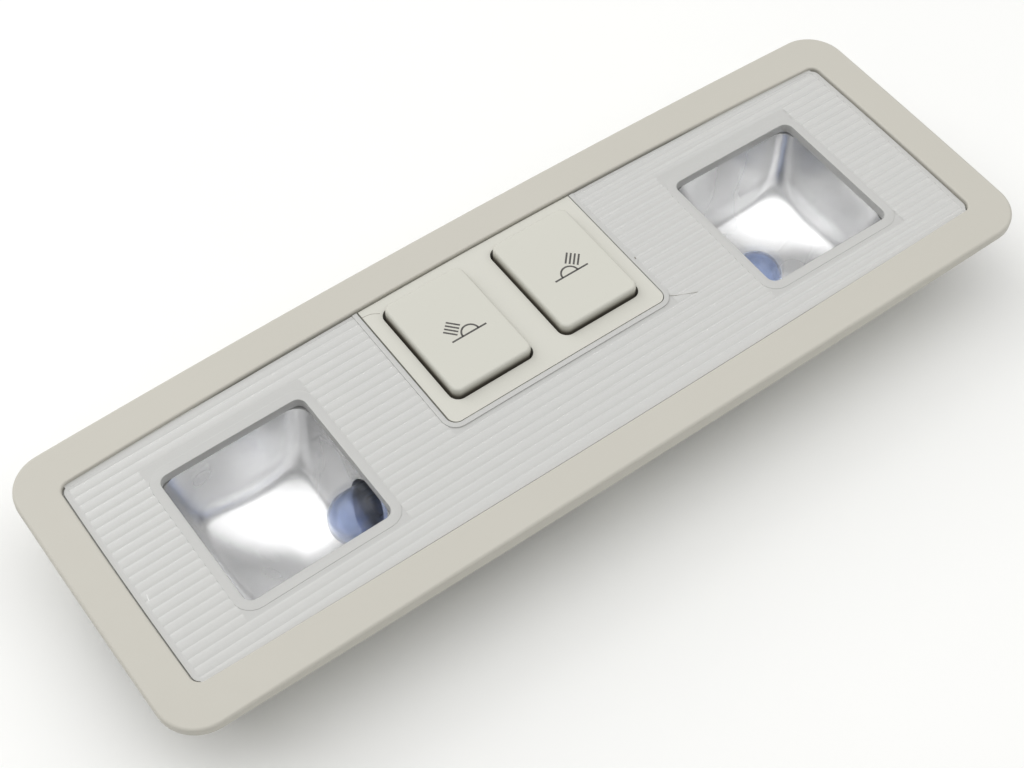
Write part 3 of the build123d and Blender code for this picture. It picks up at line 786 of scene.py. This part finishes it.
def coilTree():
    tree = bpy.data.node_groups.new("wire_coil", "GeometryNodeTree")
    face = tree.interface
    face.new_socket("Base", in_out="INPUT", socket_type="NodeSocketGeometry")
    for title in ("Turns", "Radius", "Height", "Wire"):
        face.new_socket(title, in_out="INPUT", socket_type="NodeSocketFloat")
    for title in ("Points", "Sides"):
        face.new_socket(title, in_out="INPUT", socket_type="NodeSocketInt")
    face.new_socket("Finish", in_out="INPUT", socket_type="NodeSocketMaterial")
    face.new_socket("Coil", in_out="OUTPUT", socket_type="NodeSocketGeometry")
    add = tree.nodes.new
    join = tree.links.new
    given = add("NodeGroupInput").outputs
    helix = add("GeometryNodeCurveSpiral")
    join(given["Points"], helix.inputs["Resolution"])
    join(given["Turns"], helix.inputs["Rotations"])
    join(given["Radius"], helix.inputs["Start Radius"])
    join(given["Radius"], helix.inputs["End Radius"])
    join(given["Height"], helix.inputs["Height"])
    ring = add("GeometryNodeCurvePrimitiveCircle")
    join(given["Sides"], ring.inputs["Resolution"])
    join(given["Wire"], ring.inputs["Radius"])
    sweep = add("GeometryNodeCurveToMesh")
    sweep.inputs["Fill Caps"].default_value = True
    join(helix.outputs["Curve"], sweep.inputs["Curve"])
    join(ring.outputs["Curve"], sweep.inputs["Profile Curve"])
    smooth = add("GeometryNodeSetShadeSmooth")
    join(sweep.outputs["Mesh"], smooth.inputs["Geometry"])
    real = add("GeometryNodeRealizeInstances")
    join(smooth.outputs["Geometry"], real.inputs["Geometry"])
    finish = add("GeometryNodeSetMaterial")
    join(real.outputs["Geometry"], finish.inputs["Geometry"])
    join(given["Finish"], finish.inputs["Material"])
    join(finish.outputs["Geometry"], add("NodeGroupOutput").inputs["Coil"])
    return tree


coil = coilTree()


def makeSpring(side):
    look = springLook
    node = "button_spring_" + side
    low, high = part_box(node)
    centre = (low + high) / 2
    radius = (high.x - low.x) / 2 - look["wire"] * mm
    height = high.z - low.z - 2 * look["wire"] * mm
    mesh = runNodes(
        node, bpy.data.meshes.new(node), coil, Turns=look["turns"], Radius=radius, Height=height,
        Wire=look["wire"] * mm, Points=look["pointsPerTurn"], Sides=look["wireSides"], Finish=springSteel,
    )
    mesh.transform(Matrix.Translation((centre.x, centre.y, low.z + look["wire"] * mm)))
    piece = newPiece("return_coil_" + side, mesh, "light_body")
    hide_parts(node)
    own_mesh(piece)


for side in sides:
    makeSpring(side)
print("springs done")


# Wedge bulbs: a hollow tinted envelope, a pinched base, lead wires and a coiled filament

bulbLook = dict(
    radius=5.0, wedge=8.6, shoulder=1.6, wall=0.45,             # mm
    rings=40, shoulderSteps=6, tipSteps=12,
    wedgeHalf=(2.1, 4.4), wedgeRound=0.7,
    wedgeStart=0.05, wedgeGap=0.02,
    leadRadius=0.2, leadSpread=2.1, leadReach=9.6, leadGap=0.05, leadRound=0.16,
    filamentTurns=14.0, filamentRadius=0.32, filamentWire=0.07, filamentDrop=0.2,
    filamentPoints=14, filamentSides=6,
)


def envelopeProfile(length, wall):
    # (distance along the axis, radius) from the pinch to the tip
    look = bulbLook
    radius = look["radius"] - wall
    shoulder = look["shoulder"]
    start = look["wedge"] + wall
    points = [(start, 0.0)]
    for step in range(look["shoulderSteps"] + 1):
        angle = math.pi / 2 * step / look["shoulderSteps"]
        along = start + shoulder * (1 - math.cos(angle))
        points.append((along, radius - shoulder + shoulder * math.sin(angle)))
    for step in range(look["tipSteps"] + 1):
        angle = math.pi / 2 * step / look["tipSteps"]
        points.append((length - look["radius"] + radius * math.sin(angle), radius * math.cos(angle)))
    return points


def lathe(profile, rings, inward):
    # turns a profile round the X axis; the first and last points are poles
    mesh = bmesh.new()
    loops = []
    for along, radius in profile[1:-1]:
        loop = []
        for step in range(rings):
            angle = 2 * math.pi * step / rings
            loop.append(mesh.verts.new((along, radius * math.cos(angle), radius * math.sin(angle))))
        loops.append(loop)
    first = mesh.verts.new((profile[0][0], 0, 0))
    last = mesh.verts.new((profile[-1][0], 0, 0))
    for one, two in zip(loops, loops[1:]):
        for step in range(rings):
            after = (step + 1) % rings
            mesh.faces.new((one[step], one[after], two[after], two[step]))
    for step in range(rings):
        after = (step + 1) % rings
        mesh.faces.new((first, loops[0][after], loops[0][step]))
        mesh.faces.new((last, loops[-1][step], loops[-1][after]))
    bmesh.ops.recalc_face_normals(mesh, faces=mesh.faces)
    if inward:
        bmesh.ops.reverse_faces(mesh, faces=mesh.faces)
    made = bpy.data.meshes.new("turned")
    mesh.to_mesh(made)
    mesh.free()
    return made


def roundedBlock(low, high, edgeRound):
    mesh = bmesh.new()
    bmesh.ops.create_cube(mesh, size=1.0)
    for vert in mesh.verts:
        vert.co = Vector(l + (h - l) * (c + 0.5) for l, h, c in zip(low, high, vert.co))
    bmesh.ops.bevel(mesh, geom=mesh.edges[:], offset=edgeRound, segments=4, profile=0.5, affect="EDGES")
    made = bpy.data.meshes.new("block")
    mesh.to_mesh(made)
    mesh.free()
    return made


def makeBulb(side, sign):
    look = bulbLook
    node = "reading_bulb_" + side
    low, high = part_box(node)
    length = (high.x - low.x) / mm
    halfY, halfZ = look["wedgeHalf"]
    parts = [(lathe(envelopeProfile(length, 0.0), look["rings"], False), 0)]
    parts.append((lathe(envelopeProfile(length, look["wall"]), look["rings"], True), 0))
    wedgeLow = (look["wedgeStart"], -halfY, -halfZ)
    wedgeHigh = (look["wedge"] - look["wedgeGap"], halfY, halfZ)
    parts.append((roundedBlock(wedgeLow, wedgeHigh, look["wedgeRound"]), 0))
    thin = look["leadRadius"]
    start = look["wedge"] + look["wall"] + look["leadGap"]
    for lead in (-look["leadSpread"], look["leadSpread"]):
        far = (start + look["leadReach"], lead + thin, thin)
        parts.append((roundedBlock((start, lead - thin, -thin), far, look["leadRound"]), 1))
    filament = runNodes(
        "filament", bpy.data.meshes.new("filament"), coil,
        Turns=look["filamentTurns"], Radius=look["filamentRadius"], Height=2 * look["leadSpread"],
        Wire=look["filamentWire"], Points=look["filamentPoints"], Sides=look["filamentSides"],
        Finish=tungsten,
    )
    tip = look["wedge"] + look["wall"] + look["leadReach"] - look["filamentDrop"]
    across = Matrix.Rotation(math.pi / 2, 4, "X")
    filament.transform(Matrix.Translation((tip, look["leadSpread"], 0)) @ across)
    parts.append((filament, 1))
    mesh = joined("bulb", parts)
    turn = Matrix.Rotation(0 if sign > 0 else math.pi, 4, "Z")
    base = Vector((low.x if sign > 0 else high.x, (low.y + high.y) / 2, (low.z + high.z) / 2))
    mesh.transform(Matrix.Translation(base) @ turn @ Matrix.Scale(mm, 4))
    piece = newPiece("wedge_bulb_" + side, mesh, "light_body", bulbGlass, tungsten)
    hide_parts(node)


for side, sign in sides.items():
    makeBulb(side, sign)
print("bulbs done")


# Stage, light and camera

stageLook = dict(floorTone=tone(250, 250, 248), floorHalf=4.0)


def makeFloor():
    half = stageLook["floorHalf"]
    mesh = bpy.data.meshes.new("table_top")
    corners = [(-half, -half, 0), (half, -half, 0), (half, half, 0), (-half, half, 0)]
    mesh.from_pydata(corners, [], [(0, 1, 2, 3)])
    paint = Paint("pale_table")
    color = stageLook["floorTone"]
    paint.color(paint.noise(scale=6, detail=3), *(shade(color, factor) for factor in faintMottle))
    paint.rough(paint.noise(scale=30), low=0.5, high=0.65)
    paint.set(Specular_IOR_Level=0.2)
    mesh.materials.append(paint.material)
    floor = bpy.data.objects.new("table_top", mesh)
    scene.collection.objects.link(floor)


lightLook = dict(                                               # metres, degrees and watts
    top=dict(place=(0.1, -0.03, 0.72), turn=(0.0, 0.0, -36.4), size=(1.6, 0.72), power=5.2),
    back=dict(place=(-0.4, 0.8, 0.66), turn=(-53.0, -23.0, 0.0), size=(1.0, 0.8), power=4.0),
    worldLevel=0.36,
)


def makeLamp(name, look):
    data = bpy.data.lights.new(name, "AREA")
    data.shape = "RECTANGLE"
    data.size, data.size_y = look["size"]
    data.energy = look["power"]
    lamp = bpy.data.objects.new(name, data)
    lamp.location = look["place"]
    lamp.rotation_euler = [math.radians(angle) for angle in look["turn"]]
    scene.collection.objects.link(lamp)


def makeWorld():
    world = bpy.data.worlds.new("studio")
    world.use_nodes = True
    background = world.node_tree.nodes["Background"]
    background.inputs["Color"].default_value = (1, 1, 1, 1)
    background.inputs["Strength"].default_value = lightLook["worldLevel"]
    scene.world = world


cameraLook = dict(
    place=(-126.9, -153.6, 292.5),                              # mm from the origin under the light
    right=(0.8051, -0.5930, 0.0213), down=(-0.4772, -0.6682, -0.5707), forward=(0.3527, 0.4493, -0.8209),
    lens=66.3, sensor=36.0, nearest=0.01,
)


def makeCamera():
    look = cameraLook
    data = bpy.data.cameras.new("photo_camera")
    data.lens = look["lens"]
    data.sensor_width = look["sensor"]
    data.clip_start = look["nearest"]
    camera = bpy.data.objects.new("photo_camera", data)
    turn = Matrix((look["right"], [-v for v in look["down"]], [-v for v in look["forward"]])).transposed()
    camera.matrix_world = Matrix.Translation(Vector(look["place"]) * mm) @ turn.to_4x4()
    scene.collection.objects.link(camera)
    scene.camera = camera


makeFloor()
makeLamp("top_softbox", lightLook["top"])
makeLamp("back_softbox", lightLook["back"])
makeWorld()
makeCamera()
scene.view_settings.view_transform = "Standard"
print("stage done")
